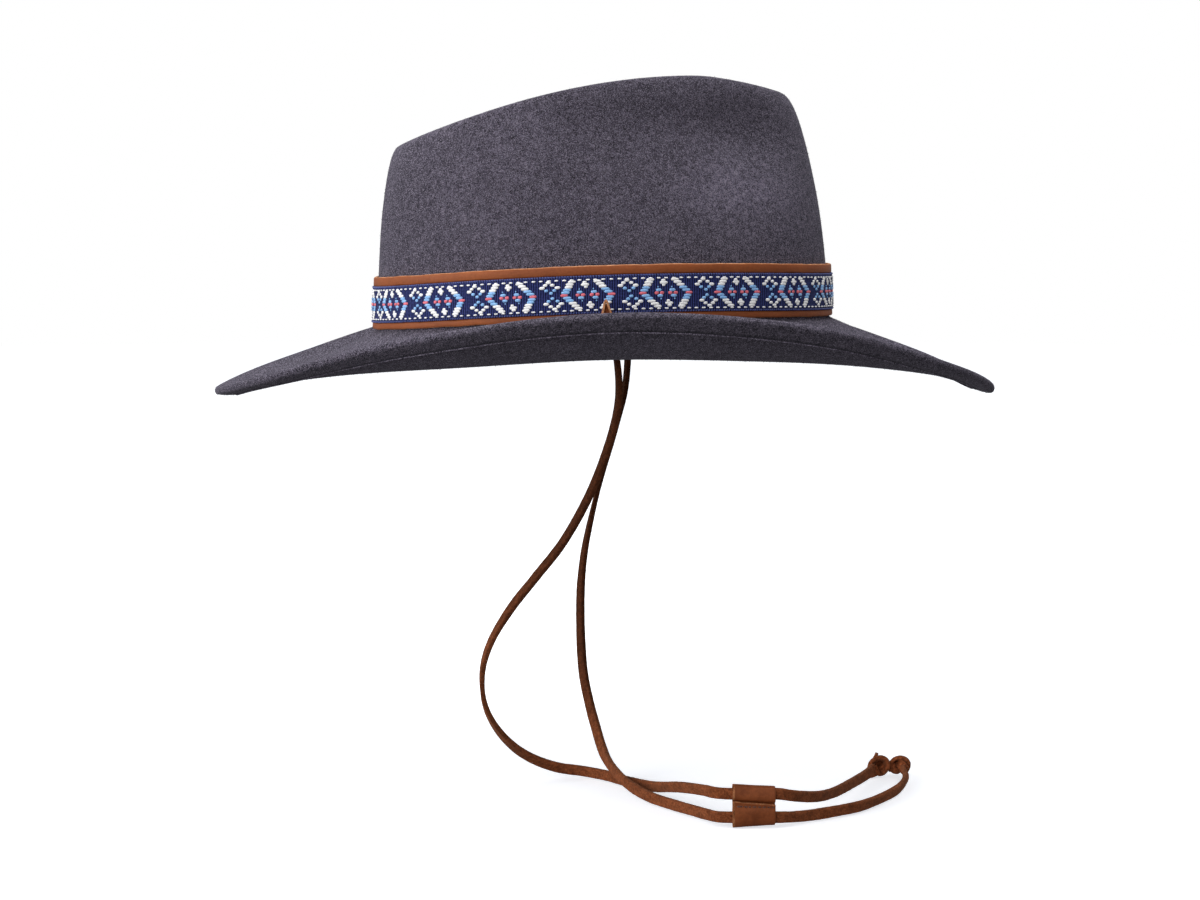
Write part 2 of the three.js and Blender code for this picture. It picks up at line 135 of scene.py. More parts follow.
# Floats in fours: to both sides, above and below
FLOATS_FOUR = (
    {"shade": "blue", "along": 2.72, "row": 1, "long": 1.04, "high": 1.15},
    {"shade": "blue", "along": 2.44, "row": 2, "long": 1.04, "high": 1.15},
    {"shade": "white", "along": 2.16, "row": 3, "long": 1.04, "high": 1.15},
    {"shade": "white", "along": 1.88, "row": 4, "long": 1.04, "high": 1.15},
    {"shade": "white", "along": 1.60, "row": 4.95, "long": 1.0, "high": 1.1},
    {"shade": "blue", "along": 0.9, "row": 1.05, "long": 0.75, "high": 1.15},
    {"shade": "blue", "along": 0.9, "row": 2.2, "long": 0.15, "high": 0.6},
)
# Floats in twos, above and below, at the middle of the figure or between two figures
FLOATS_TWO = (
    {"shade": "white", "along": 0, "row": 3.0, "long": 0.45, "high": 1.1},
    {"shade": "white", "along": 0, "row": 3.8, "long": 1.0, "high": 1.2},
    {"shade": "white", "along": 0, "row": 4.6, "long": 0.55, "high": 1.1},
    {"shade": "blue", "along": 5.4, "row": 1, "long": 0.5, "high": 1.1},
    {"shade": "blue", "along": 4.86, "row": 2, "long": 0.5, "high": 1.1},
    {"shade": "blue", "along": 5.94, "row": 2, "long": 0.5, "high": 1.1},
    {"shade": "white", "along": 4.42, "row": 3, "long": 0.7, "high": 1.15},
    {"shade": "white", "along": 6.38, "row": 3, "long": 0.7, "high": 1.15},
    {"shade": "white", "along": 4.9, "row": 4, "long": 0.56, "high": 1.1},
    {"shade": "white", "along": 5.9, "row": 4, "long": 0.56, "high": 1.1},
    {"shade": "white", "along": 5.4, "row": 4.95, "long": 0.65, "high": 1.1},
)
# The rows of dashes along both edges, and the beads of the woven edge outside them
DASHES = {"top": 5.55, "bottom": -5.75, "long": 0.5, "high": 0.6}
BEAD = {"pitch": 1.2, "long": 0.7, "out": 0.6, "high": 0.8, "inset": 0.3, "lean": 0.35}


# ---------- camera


def make_camera():
    data = bpy.data.cameras.new("camera")
    data.lens = LENS
    data.sensor_width = SENSOR
    camera = bpy.data.objects.new("camera", data)
    camera.location = Vector(CAMERA_AT) * MM
    camera.rotation_euler = (radians(90 - CAMERA_DOWN), 0, radians(-CAMERA_RIGHT))
    bpy.context.scene.collection.objects.link(camera)
    bpy.context.scene.camera = camera


make_camera()


# ---------- shaping tools


def in_order(bm):
    """Sorts the mesh by where its parts lie, because some operators give another order each run."""
    slope = Vector((1, 0.6173, 0.2719))
    bm.verts.sort(key=lambda v: v.co.dot(slope))
    bm.edges.sort(key=lambda e: (e.verts[0].co + e.verts[1].co).dot(slope))
    bm.faces.sort(key=lambda f: f.calc_center_median().dot(slope))


def loft(rings, closed=False):
    """A skin through rings of points. The first is drawn and each next one is extruded from the
    last. Every vertex keeps the number of its ring and its place in it."""
    bm = bmesh.new()
    row = bm.verts.layers.int.new("row")
    place = bm.verts.layers.int.new("place")
    ring = [bm.verts.new(point) for point in rings[0]]
    first = [bm.edges.new(pair) for pair in zip(ring, ring[1:] + ring[:1])]
    edges = first
    for k, vert in enumerate(ring):
        vert[place] = k
    for number, points in enumerate(rings[1:], 1):
        made = bmesh.ops.extrude_edge_only(bm, edges=edges)["geom"]
        fresh = {item for item in made if isinstance(item, bmesh.types.BMVert)}
        ring = [next(e.other_vert(v) for e in v.link_edges if e.other_vert(v) in fresh)
                for v in ring]
        for k, (vert, point) in enumerate(zip(ring, points)):
            vert.co = point
            vert[row] = number
            vert[place] = k
        edges = [bm.edges.get(pair) for pair in zip(ring, ring[1:] + ring[:1])]
    if closed:
        bmesh.ops.bridge_loops(bm, edges=first + edges)
    else:
        bmesh.ops.edgeloop_fill(bm, edges=first)
        bmesh.ops.edgeloop_fill(bm, edges=edges)
    bmesh.ops.recalc_face_normals(bm, faces=bm.faces)
    in_order(bm)
    return bm


def chart(bm, rows, places, length, girth):
    """Lays a loft out flat as its UV map, in metres along it and round it."""
    uv = bm.loops.layers.uv.new("flat")
    row = bm.verts.layers.int["row"]
    place = bm.verts.layers.int["place"]
    for face in bm.faces:
        far_row = max(v[row] for v in face.verts) - min(v[row] for v in face.verts) > 1
        far_place = max(v[place] for v in face.verts) - min(v[place] for v in face.verts) > 1
        for loop in face.loops:
            along = rows if far_row and loop.vert[row] == 0 else loop.vert[row]
            over = places if far_place and loop.vert[place] == 0 else loop.vert[place]
            loop[uv].uv = (along * length / rows, over * girth / places)


def piece(bm, name, *coats, smooth=True):
    """Makes an object of a bmesh, with its finishes."""
    mesh = bpy.data.meshes.new(name)
    for coat in coats:
        mesh.materials.append(coat)
    for face in bm.faces:
        face.smooth = smooth
    bm.to_mesh(mesh)
    bm.free()
    obj = bpy.data.objects.new(name, mesh)
    bpy.context.scene.collection.objects.link(obj)
    return obj


def settled(obj):
    """Makes the modifiers part of the mesh."""
    shape = obj.evaluated_get(bpy.context.evaluated_depsgraph_get())
    mesh = bpy.data.meshes.new_from_object(shape)
    obj.modifiers.clear()
    obj.data = mesh
    return obj


def subdivided(obj, levels):
    modifier = obj.modifiers.new("subdivision", "SUBSURF")
    modifier.levels = modifier.render_levels = levels
    return obj


def scatter(bm, tile, places):
    """Copies of a small mesh, one at each place."""
    rest = np.empty(len(tile.vertices) * 3)
    tile.vertices.foreach_get("co", rest)
    rest = np.c_[rest.reshape(-1, 3), np.ones(len(tile.vertices))]
    for matrix in places:
        tile.vertices.foreach_set("co", (rest @ np.array(matrix).T)[:, :3].ravel())
        bm.from_mesh(tile)
    tile.vertices.foreach_set("co", rest[:, :3].ravel())


def tile_of(bm):
    mesh = bpy.data.meshes.new("tile")
    bm.to_mesh(mesh)
    bm.free()
    return mesh


def axes(x, y, z, origin):
    """The matrix whose columns are three directions and a place."""
    return Matrix([*zip(x, y, z, origin), (0, 0, 0, 1)])


def wander(point, size, seed=0):
    """A smooth random number for a place, about -1 to 1, that changes over the given size."""
    return noise.noise(Vector(point) / size + Vector((seed * 7.3, seed * 3.1, seed * 5.7)))


# ---------- finishes


def finish(name):
    material = bpy.data.materials.new(name)
    material.use_nodes = True
    return material


def node(owner, kind, inputs=(), **settings):
    """Adds a node to a material or to the world, and sets or links its sockets."""
    made = owner.node_tree.nodes.new(kind)
    for key, value in settings.items():
        setattr(made, key, value)
    for socket, value in dict(inputs).items():
        if isinstance(value, bpy.types.NodeSocket):
            owner.node_tree.links.new(value, made.inputs[socket])
        else:
            made.inputs[socket].default_value = value
    return made


def surface(material, **values):
    """Sets or links sockets of the material's shader."""
    shader = material.node_tree.nodes["Principled BSDF"]
    for key, value in values.items():
        socket = shader.inputs[key.replace("_", " ")]
        if isinstance(value, bpy.types.NodeSocket):
            material.node_tree.links.new(value, socket)
        else:
            socket.default_value = value


def ramp(material, factor, *stops):
    """A colour for a factor, from stops of (factor, colour)."""
    made = node(material, "ShaderNodeValToRGB", {"Fac": factor})
    elements = made.color_ramp.elements
    while len(elements) < len(stops):
        elements.new(0.5)
    for element, (at, colour) in zip(elements, stops):
        element.position = at
        element.color = (*colour, 1) if len(colour) == 3 else colour
    return made.outputs["Color"]


def grey(value):
    return (value, value, value)


def blend(material, factor, a, b, kind="MIX"):
    """Two colours mixed. The first three inputs may be values or sockets."""
    made = node(material, "ShaderNodeMix", data_type="RGBA", blend_type=kind)
    links = material.node_tree.links
    for index, value in ((0, factor), (6, a), (7, b)):
        if isinstance(value, bpy.types.NodeSocket):
            links.new(value, made.inputs[index])
        else:
            made.inputs[index].default_value = value if index == 0 else (*value, 1)
    return made.outputs[2]


def grain(material, where, scale, detail=2, rough=0.5, distortion=0):
    return node(material, "ShaderNodeTexNoise", {
        "Vector": where, "Scale": scale, "Detail": detail, "Roughness": rough,
        "Distortion": distortion,
    }).outputs["Fac"]


def own_place(material, kind="Object"):
    return node(material, "ShaderNodeTexCoord").outputs[kind]


def turned(material, where, turn, scale):
    return node(material, "ShaderNodeMapping", {
        "Vector": where, "Rotation": turn, "Scale": scale,
    }).outputs["Vector"]


def bump(material, height, distance, strength=1):
    return node(material, "ShaderNodeBump", {
        "Height": height, "Distance": distance, "Strength": strength,
    }).outputs["Normal"]


# Places on the crown and the brim, alike on both sides of the hat, where painted highlights (above
# 1) and painted shade (below 1) lie on the felt: how far to the front and up they are, how wide and
# high they are, in millimetres, and how light they are painted
PAINTED_LIGHT_PLACES = (
    {"x": 54, "z": 60, "wide": 46, "high": 25, "painted_shading": 1.72},
    {"x": 84, "z": 52, "wide": 30, "high": 34, "painted_shading": 1.3},
    {"x": 25, "z": 27, "wide": 75, "high": 22, "painted_shading": 0.76},
    {"x": 18, "z": 106, "wide": 95, "high": 26, "painted_shading": 0.82},
    {"x": -142, "z": -14, "wide": 70, "high": 45, "painted_shading": 0.72},
    {"x": 138, "z": -6, "wide": 60, "high": 40, "painted_shading": 0.85},
)


def felt_finish():
    """Charcoal fur felt: a heathered mix of dark and light fibres, cloudy over larger patches, with
    painted highlights and painted shade at the places listed above. Its own map runs across the
    turned edge of the brim, from the rim (0) to the cut edge (1); along it the felt is painted a
    little lighter, with painted shade in the groove and a painted highlight on the lip."""
    m = finish("charcoal felt")
    where = own_place(m)
    clouds = grain(m, where, 30, 3, 0.6)
    mottle = grain(m, where, 420, 3, 0.7, 0.5)
    specks = grain(m, where, 1500, 2, 0.75)
    fibres = None
    turns = ((0.4, 0.2, 0.1), (0.9, 1.3, 0.5), (1.7, 0.4, 2.2), (2.4, 2.1, 1.1))
    for turn in turns:
        strand = grain(m, turned(m, where, turn, (1, 0.17, 1)), 2600, 1, 0.5, 0.4)
        fibres = strand if fibres is None else blend(m, 1.0, fibres, strand, "LIGHTEN")
    base = ramp(m, mottle, (0.32, (0.018, 0.016, 0.022)), (0.5, (0.039, 0.034, 0.048)),
                (0.7, (0.089, 0.079, 0.104)))
    cloudy = blend(m, 1.0, base, ramp(m, clouds, (0.3, grey(0.84)), (0.7, grey(1.14))), "MULTIPLY")
    # Painted highlights and painted shade at the listed places on the crown and the brim
    for spot in PAINTED_LIGHT_PLACES:
        spread = (1 / spot["wide"], 0, 1 / spot["high"])
        middle = (-spot["x"] / spot["wide"], 0, -spot["z"] / spot["high"])
        place = node(m, "ShaderNodeMapping", {"Vector": where, "Location": middle,
                                              "Scale": [s / MM for s in spread]})
        near = node(m, "ShaderNodeTexGradient", {"Vector": place.outputs["Vector"]},
                    gradient_type="QUADRATIC_SPHERE").outputs["Fac"]
        cloudy = blend(m, 1.0, cloudy, ramp(m, near, (0, grey(1)), (0.6, grey(spot["painted_shading"]))),
                       "MULTIPLY")
    dotted = blend(m, 1.0, cloudy, ramp(m, specks, (0.36, grey(0.25)), (0.64, grey(1.8))),
                   "MULTIPLY")
    hairs = ramp(m, fibres, (0.62, grey(0)), (0.71, grey(1)))
    coat = blend(m, hairs, dotted, (0.205, 0.183, 0.233))
    # Painted across the turned edge: a little lighter over it, painted shade in the groove, and a
    # painted highlight on the lip and the cut edge's step
    across = node(m, "ShaderNodeSeparateXYZ", {"Vector": own_place(m, "UV")}).outputs["Y"]
    line = ramp(m, across, (0, grey(1)), (0.15, grey(1.3)), (0.76, grey(1.2)),
                (0.84, grey(0.4)), (0.89, grey(0.4)), (0.91, grey(1.8)), (1.0, grey(1.8)))
    height = blend(m, 0.5, fibres, specks)
    surface(m, Base_Color=blend(m, 1.0, coat, line, "MULTIPLY"), Roughness=1.0,
            Specular_IOR_Level=0.08, Sheen_Weight=0.12, Sheen_Roughness=0.5,
            Sheen_Tint=(0.62, 0.6, 0.74, 1), Normal=bump(m, height, 0.0006, 0.8))
    return m


def leather_finish(name, dark, light, rough, clouds=45):
    """Saddle leather: a fine grain over slow changes of depth in the dye."""
    m = finish(name)
    where = own_place(m)
    depth = grain(m, where, clouds, 4, 0.6)
    pores = grain(m, where, 900, 3, 0.6)
    colour = ramp(m, depth, (0.3, dark), (0.7, light))
    worn = blend(m, 1.0, colour, ramp(m, pores, (0.3, grey(0.86)), (0.7, grey(1.1))), "MULTIPLY")
    surface(m, Base_Color=worn, Roughness=rough, Specular_IOR_Level=0.2,
            Normal=bump(m, pores, 0.00025, 0.5))
    return m


def suede_finish(name, dark, light, painted_shading=()):
    """Suede: a short matt nap with coarse and fine specks. The table is painted shade: how light
    the suede is painted at a height in millimetres."""
    m = finish(name)
    where = own_place(m)
    patches = grain(m, where, 240, 3, 0.65)
    nap = grain(m, where, 1000, 3, 0.75, 0.3)
    colour = ramp(m, patches, (0.3, dark), (0.7, light))
    napped = blend(m, 1.0, colour, ramp(m, nap, (0.3, grey(0.42)), (0.7, grey(1.55))), "MULTIPLY")
    # Painted shade that changes with height, darker towards the brim
    if painted_shading:
        low, high = painted_shading[0][0], painted_shading[-1][0]
        up = node(m, "ShaderNodeMapRange", {
            "Value": node(m, "ShaderNodeSeparateXYZ", {"Vector": where}).outputs["Z"],
            "From Min": low * MM, "From Max": high * MM,
        }).outputs["Result"]
        lace_painted_shade = ramp(m, up, *[((z - low) / (high - low), grey(value)) for z, value in painted_shading])
        napped = blend(m, 1.0, napped, lace_painted_shade, "MULTIPLY")
    surface(m, Base_Color=napped, Roughness=0.95, Specular_IOR_Level=0.08, Sheen_Weight=0.1,
            Sheen_Roughness=0.5, Sheen_Tint=(1.0, 0.6, 0.36, 1), Normal=bump(m, nap, 0.0004, 0.8))
    return m


def ground_finish():
    """The ribbon's navy ground: fine upright ribs with the weft's rows crossing them."""
    m = finish("navy weave")
    flat = own_place(m, "UV")
    ribs = node(m, "ShaderNodeTexWave", {"Vector": flat, "Scale": 300, "Distortion": 0.6,
                                         "Detail": 1}, bands_direction="X").outputs["Fac"]
    rows = node(m, "ShaderNodeTexWave", {"Vector": flat, "Scale": 420, "Distortion": 0.4,
                                         "Detail": 1}, bands_direction="Y").outputs["Fac"]
    threads = grain(m, flat, 900, 2, 0.6)
    ribbed = blend(m, 0.35, ribs, rows)
    colour = ramp(m, ribbed, (0.25, (0.003, 0.004, 0.024)), (0.8, (0.042, 0.056, 0.20)))
    woven = blend(m, 1.0, colour, ramp(m, threads, (0.3, grey(0.75)), (0.7, grey(1.3))),
                  "MULTIPLY")
    surface(m, Base_Color=woven, Roughness=0.85, Specular_IOR_Level=0.12, Sheen_Weight=0.04,
            Sheen_Roughness=0.4, Normal=bump(m, ribbed, 0.0002, 0.8))
    return m


def thread_finish(name, dark, light):
    """A floating thread: glossy filaments that run along it."""
    m = finish(name)
    where = own_place(m)
    strands = grain(m, where, 1800, 2, 0.6)
    colour = ramp(m, strands, (0.3, dark), (0.7, light))
    surface(m, Base_Color=colour, Roughness=0.55, Specular_IOR_Level=0.4, Sheen_Weight=0.25,
            Normal=bump(m, strands, 0.00012, 0.6))
    return m


felt = felt_finish()
band_leather = leather_finish("band leather", (0.223, 0.057, 0.016), (0.328, 0.091, 0.027), 0.55)
slider_leather = leather_finish("slider leather", (0.156, 0.038, 0.010), (0.254, 0.068, 0.020),
                                0.5, clouds=150)
cut_edge = suede_finish("cut leather edge", (0.34, 0.13, 0.055), (0.66, 0.33, 0.17))
worn_edge = suede_finish("worn leather edge", (0.15, 0.045, 0.016), (0.40, 0.16, 0.07))
SUEDE = ((0.155, 0.042, 0.015), (0.29, 0.085, 0.032))
suede = suede_finish("lace suede", *SUEDE)
navy = ground_finish()
stitch_thread = thread_finish("brown thread", (0.05, 0.014, 0.006), (0.13, 0.04, 0.018))
navy_thread = thread_finish("navy thread", (0.030, 0.042, 0.16), (0.065, 0.085, 0.30))
THREADS = {
    "white": thread_finish("white thread", (0.86, 0.86, 0.86), (1.0, 1.0, 0.99)),
    "blue": thread_finish("light blue thread", (0.18, 0.41, 0.75), (0.33, 0.59, 0.96)),
    "coral": thread_finish("coral thread", (0.62, 0.10, 0.14), (0.90, 0.20, 0.25)),
}


# ---------- laces


# How many short pieces a smooth line has between two given points before it is spaced evenly
CURVE_CUTS = 24


def curve_through(points, step):
    """Evenly spaced points on a smooth line through the given ones, and its length in metres."""
    knots = [Vector(p) * MM for p in points]
    knots = [2 * knots[0] - knots[1], *knots, 2 * knots[-1] - knots[-2]]
    line = []
    for a, b, c, d in zip(knots, knots[1:], knots[2:], knots[3:]):
        t0, t1, t2 = (sqrt((q - p).length) for p, q in ((a, b), (b, c), (c, d)))
        leave = ((b - a) / t0 - (c - a) / (t0 + t1) + (c - b) / t1) * t1
        arrive = ((c - b) / t1 - (d - b) / (t1 + t2) + (d - c) / t2) * t1
        for k in range(CURVE_CUTS):
            t = k / CURVE_CUTS
            line.append(
                b * (2 * t**3 - 3 * t**2 + 1) + leave * (t**3 - 2 * t**2 + t)
                + c * (3 * t**2 - 2 * t**3) + arrive * (t**3 - t**2)
            )
    line.append(knots[-2])
    walked = [0]
    for a, b in zip(line, line[1:]):
        walked.append(walked[-1] + (b - a).length)
    count = round(walked[-1] / (step * MM))
    even = []
    for k in range(count + 1):
        at = walked[-1] * k / count
        i = min(bisect_right(walked, at) - 1, len(line) - 2)
        even.append(line[i].lerp(line[i + 1], (at - walked[i]) / (walked[i + 1] - walked[i])))
    return even, walked[-1]


def between(table, at):
    """The value for a place, from rows of (place, value)."""
    i = min(max(bisect_right([row[0] for row in table], at), 1), len(table) - 1)
    (a, p), (b, q) = table[i - 1], table[i]
    return p + (q - p) * (at - a) / (b - a)


def lace_frames(line, turn):
    """Along a lace: its place, its width's direction and its thickness's direction."""
    frames = []
    for k, point in enumerate(line):
        tangent = (line[min(k + 1, len(line) - 1)] - line[max(k - 1, 0)]).normalized()
        width = Vector((-tangent.z, 0, tangent.x)).normalized()
        lean = radians(between(turn, k / (len(line) - 1)))
        width = Matrix.Rotation(lean, 3, tangent) @ width
        frames.append((point, width, tangent.cross(width).normalized()))
    return frames


def lace_section(width, thick, corner):
    """A flat section with rounded corners, going round from the middle of one broad side."""
    w, t, c = width / 2, thick / 2, corner
    quarter = [(w * 0.5, t), (w - c, t), (w - c * 0.3, t - c * 0.3), (w, t - c)]
    half = [*quarter, *[(x, -y) for x, y in reversed(quarter)]]
    return [(0, t), *half, (0, -t), *[(-x, -y) for x, y in half]]


def lace_skin(frames, section, seed=0, rough=0.09):
    """Carries the section along the frames, a little unevenly, as a lace cut by hand is."""
    rings = []
    for point, width, through in frames:
        wide = 1 + 0.04 * wander(point, 0.009, seed)
        ring = []
        for x, y in section:
            spot = point + (width * x * wide + through * y) * MM
            spot += (width * x + through * y).normalized() * rough * MM * wander(spot, 0.0016, seed)
            ring.append(spot)
        rings.append(ring)
    return rings


lace_pieces = {}
for side, strand in (("right", LACE_RIGHT), ("left", LACE_LEFT)):
    line, long = curve_through(strand["route"], LACE_STEP)
    section = lace_section(LACE["width"], LACE["thick"], LACE["corner"])
    frames = lace_frames(line, strand["turn"])
    lace_pieces[side] = {
        "line": line, "long": long,
        "obj": piece(loft(lace_skin(frames, section, seed=len(side))), f"lace_{side}_suede",
                     suede_finish(f"{side} lace suede", *SUEDE, painted_shading=strand["painted_shading"])),
    }


# ---------- felt body


# Rings cut into the turned edge, at a distance in from its cut edge, and how far each one stands
# out (+) or is pressed in (-): the lip and the groove beside it
TURNED_RINGS = ((0.45, 0.1), (0.95, -0.45), (1.7, 0.0))
# The cut edge lies farther out than this, and the faces between it and the rim are longer
CUT_EDGE = {"out": 120, "from_rim": 6}
SHARP = radians(60)
WELD = 0.02
# The felt swells a little at the front and back between these heights above the fold, where the
# band stops holding it in, and stays that much fuller above
SWELL = {"from": 23, "to": 31, "fuller": 0.015}


def sharp_edges(bm, sign):
    """Edges that stand out sharply (1) or lie deep in a sharp corner (-1)."""
    return [e for e in bm.edges if e.calc_face_angle_signed() * sign > SHARP]


def press_turned_edge(bm):
    """Cuts rings into the underside of the turned edge, from the cut edge's step outwards, presses
    the groove into it, and lays a map across it: 0 at the rim, 1 at the cut edge."""
    bm.normal_update()
    lip = {v for e in sharp_edges(bm, 1) for v in e.verts
           if v.co.xy.length > CUT_EDGE["out"] * MM}
    spokes = []
    for vert in lip:
        rim = next(e.other_vert(vert) for e in vert.link_edges
                   if e.calc_length() > CUT_EDGE["from_rim"] * MM and e.other_vert(vert) not in lip)
        face = next(f for f in vert.link_faces if rim in f.verts)
        spokes.append((vert, rim, vert.co.copy(), rim.co.copy(), face.normal.copy()))
    across = {vert: 1 for vert in lip} | {rim: 0 for _, rim, *_ in spokes}
    edges = [bm.edges.get((vert, rim)) for vert, rim, *_ in spokes]
    made = bmesh.ops.subdivide_edges(bm, edges=edges, cuts=len(TURNED_RINGS))
    fresh = [v for v in made["geom_inner"] if isinstance(v, bmesh.types.BMVert)]
    for vert in fresh:
        nearest = min(spokes, key=lambda spoke: ((vert.co - spoke[2]).cross(
            (spoke[3] - spoke[2]).normalized())).length)
        _, _, start, end, down = nearest
        long = (end - start).length
        number = round((vert.co - start).length / long * (len(TURNED_RINGS) + 1)) - 1
        inward, out = TURNED_RINGS[number]
        vert.co = start.lerp(end, inward * MM / long) + down * out * MM
        across[vert] = 1 - inward * MM / long
    uv = bm.loops.layers.uv.new("across")
    for face in bm.faces:
        turned = sum(v in across for v in face.verts)
        for loop in face.loops:
            whole = turned == len(face.verts)
            step = turned == 2 and sum(v in lip for v in face.verts) == 2
            loop[uv].uv = (0, across[loop.vert] if whole else float(step))


def swell(bm):
    """Lets the crown out to the front and back above the band."""
    for vert in bm.verts:
        up = (vert.co.z - vert.co.x * tan(radians(FRONT_TILT))) / MM
        share = min(max((up - SWELL["from"]) / (SWELL["to"] - SWELL["from"]), 0), 1)
        vert.co.x *= 1 + SWELL["fuller"] * share


def felt_body():
    """A merged copy of the CAD felt, brought back to four-sided faces and smoothed. The step of
    the turned edge and the laces' holes stay crisp."""
    bm = bmesh.new()
    bm.from_mesh(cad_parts["felt_body"].data)
    bmesh.ops.remove_doubles(bm, verts=bm.verts, dist=WELD * MM)
    bmesh.ops.join_triangles(
        bm, faces=bm.faces, cmp_seam=False, cmp_sharp=False, cmp_uvs=False, cmp_vcols=False,
        cmp_materials=False, angle_face_threshold=radians(60), angle_shape_threshold=radians(80))
    crease = bm.edges.layers.float.new("crease_edge")
    for edge in sharp_edges(bm, 1) + sharp_edges(bm, -1):
        edge[crease] = 0.9
    press_turned_edge(bm)
    swell(bm)
    obj = piece(bm, "felt_hat_body", felt)
    subdivided(obj, 2).modifiers[0].uv_smooth = "NONE"
    return settled(obj)


# Loose hairs of the nap: how many, how long and how thick in millimetres, and how far they lean
NAP = {"count": 24000, "long": 0.75, "thick": 0.11, "lean": 1.1}


def nap_hairs(felt_mesh):
    """Short hairs that stand off the felt's outside, so that its outline is soft."""
    bm = bmesh.new()
    bmesh.ops.create_cone(bm, cap_ends=True, segments=3, radius1=0.5, radius2=0, depth=1)
    bmesh.ops.translate(bm, verts=bm.verts, vec=Z * 0.5)
    tile = tile_of(bm)
    faces = [f for f in felt_mesh.polygons if f.center.z < 0
             or f.normal.dot(f.center - Vector((f.center.x * 0.3, 0, 0.03))) > 0]
    rng = random.Random(23)
    places = []
    for face in rng.choices(faces, weights=[f.area for f in faces], k=NAP["count"]):
        corners = [felt_mesh.vertices[v].co for v in face.vertices]
        share = [rng.random() for _ in corners]
        spot = sum((c * w for c, w in zip(corners, share)), Vector()) / sum(share)
        way = face.normal + Vector([rng.uniform(-1, 1) for _ in range(3)]) * NAP["lean"]
        if way.dot(face.normal) < 0.15:
            way = face.normal.copy()
        way.normalize()
        side = way.orthogonal().normalized()
        long = NAP["long"] * rng.uniform(0.5, 1.2) * MM
        thick = NAP["thick"] * MM
        places.append(axes(side * thick, way.cross(side) * thick, way * long, spot))
    bm = bmesh.new()
    scatter(bm, tile, places)
    bpy.data.meshes.remove(tile)
    return piece(bm, "felt_nap_hairs", felt)


hat = felt_body()
nap = nap_hairs(hat.data)


# ---------- band and ribbon


# How finely a hoop's girth is measured
FINE_STEPS = 7200
# The part of a turn at which the middle of the hat's right side lies
RIGHT_SIDE = 0.75


def fold(t):
    """A point of the fold, and the level direction straight out from it."""
    x = HEAD_LENGTH / 2 * cos(t)
    y = HEAD_WIDTH / 2 * sin(t)
    z = x * tan(radians(FRONT_TILT)) + SIDE_RISE * sin(t) ** 2
    out = Vector((HEAD_WIDTH * cos(t), HEAD_LENGTH * sin(t), 0)).normalized()
    return Vector((x, y, z)), out


def seat_point(t, away, up):
    """A point of the band's seat, or away from it, at a height above the fold."""
    point, out = fold(t)
    return (point + out * (away - up * SEAT_LEAN) + Z * up) * MM


def even_turns(away, count):
    """Angles at which points of the hoop stand evenly along it, and its length in metres."""
    fine = [2 * pi * k / FINE_STEPS for k in range(FINE_STEPS + 1)]
    spots = [seat_point(t, away, BAND["high"] / 2) for t in fine]
    walked = [0]
    for a, b in zip(spots, spots[1:]):
        walked.append(walked[-1] + (b - a).length)
    turns = []
    for k in range(count):
        at = walked[-1] * k / count
        turns.append(fine[bisect_right(walked, at) - 1])
    return turns, walked[-1]


def hoop(section, count, ruffle=0.0, seed=0):
    """Carries a section of (away, up) round the crown, ruffled a little, and tells its length."""
    turns, length = even_turns(section[0][0], count)
    rings = []
    for t in turns:
        ring = []
        for away, up in section:
            spot = seat_point(t, away, up)
            shift = ruffle * wander(spot, 0.011, seed) + 0.4 * ruffle * wander(spot, 0.003, seed)
            ring.append(spot + Z * shift * MM)
        rings.append(ring)
    return loft(rings, closed=True), length


def leather_band():
    """The band, with a channel that the ribbon lies in. Its top and bottom are cut edges."""
    b, c = BAND, CHANNEL
    section = [
        (b["inside"], b["low"]), (b["inside"] + 0.7, b["low"]), (b["face"] - b["ease"], b["low"]),
        (b["face"] - 0.18, b["low"] + 0.2), (b["face"], b["low"] + b["ease"]),
        (b["face"], c["low"] - 0.4), (b["face"] - 0.15, c["low"] - 0.05), (c["floor"], c["low"]),
        (c["floor"], c["high"]), (b["face"] - 0.15, c["high"] + 0.05), (b["face"], c["high"] + 0.4),
        (b["face"], b["high"] - b["ease"]), (b["face"] - 0.18, b["high"] - 0.2),
        (b["face"] - b["ease"], b["high"]), (b["inside"] + 0.7, b["high"]),
        (b["inside"], b["high"]),
    ]
    bm, _ = hoop(section, HOOP_STEPS, ruffle=0.22, seed=3)
    place = bm.verts.layers.int["place"]
    for face in bm.faces:
        places = {v[place] for v in face.verts}
        if places <= {0, 1, 2, 3} or places <= {12, 13, 14, 15}:
            face.material_index = 1
    return piece(bm, "leather_hat_band", band_leather, cut_edge)


def ribbon():
    """The ribbon's ground, with its weave laid along it."""
    r = RIBBON
    middle = (r["back"] + r["face"]) / 2
    section = [
        (r["back"], r["low"]), (middle, r["low"] - 0.12), (r["face"], r["low"]),
        *[(r["face"], r["low"] + (r["high"] - r["low"]) * k / 8) for k in range(1, 8)],
        (r["face"], r["high"]), (middle, r["high"] + 0.12), (r["back"], r["high"]),
    ]
    bm, length = hoop(section, HOOP_STEPS, ruffle=0.08, seed=5)
    girth = 2 * (r["high"] - r["low"]) * MM
    chart(bm, HOOP_STEPS, len(section), length, girth)
    return piece(bm, "woven_hat_ribbon", navy)


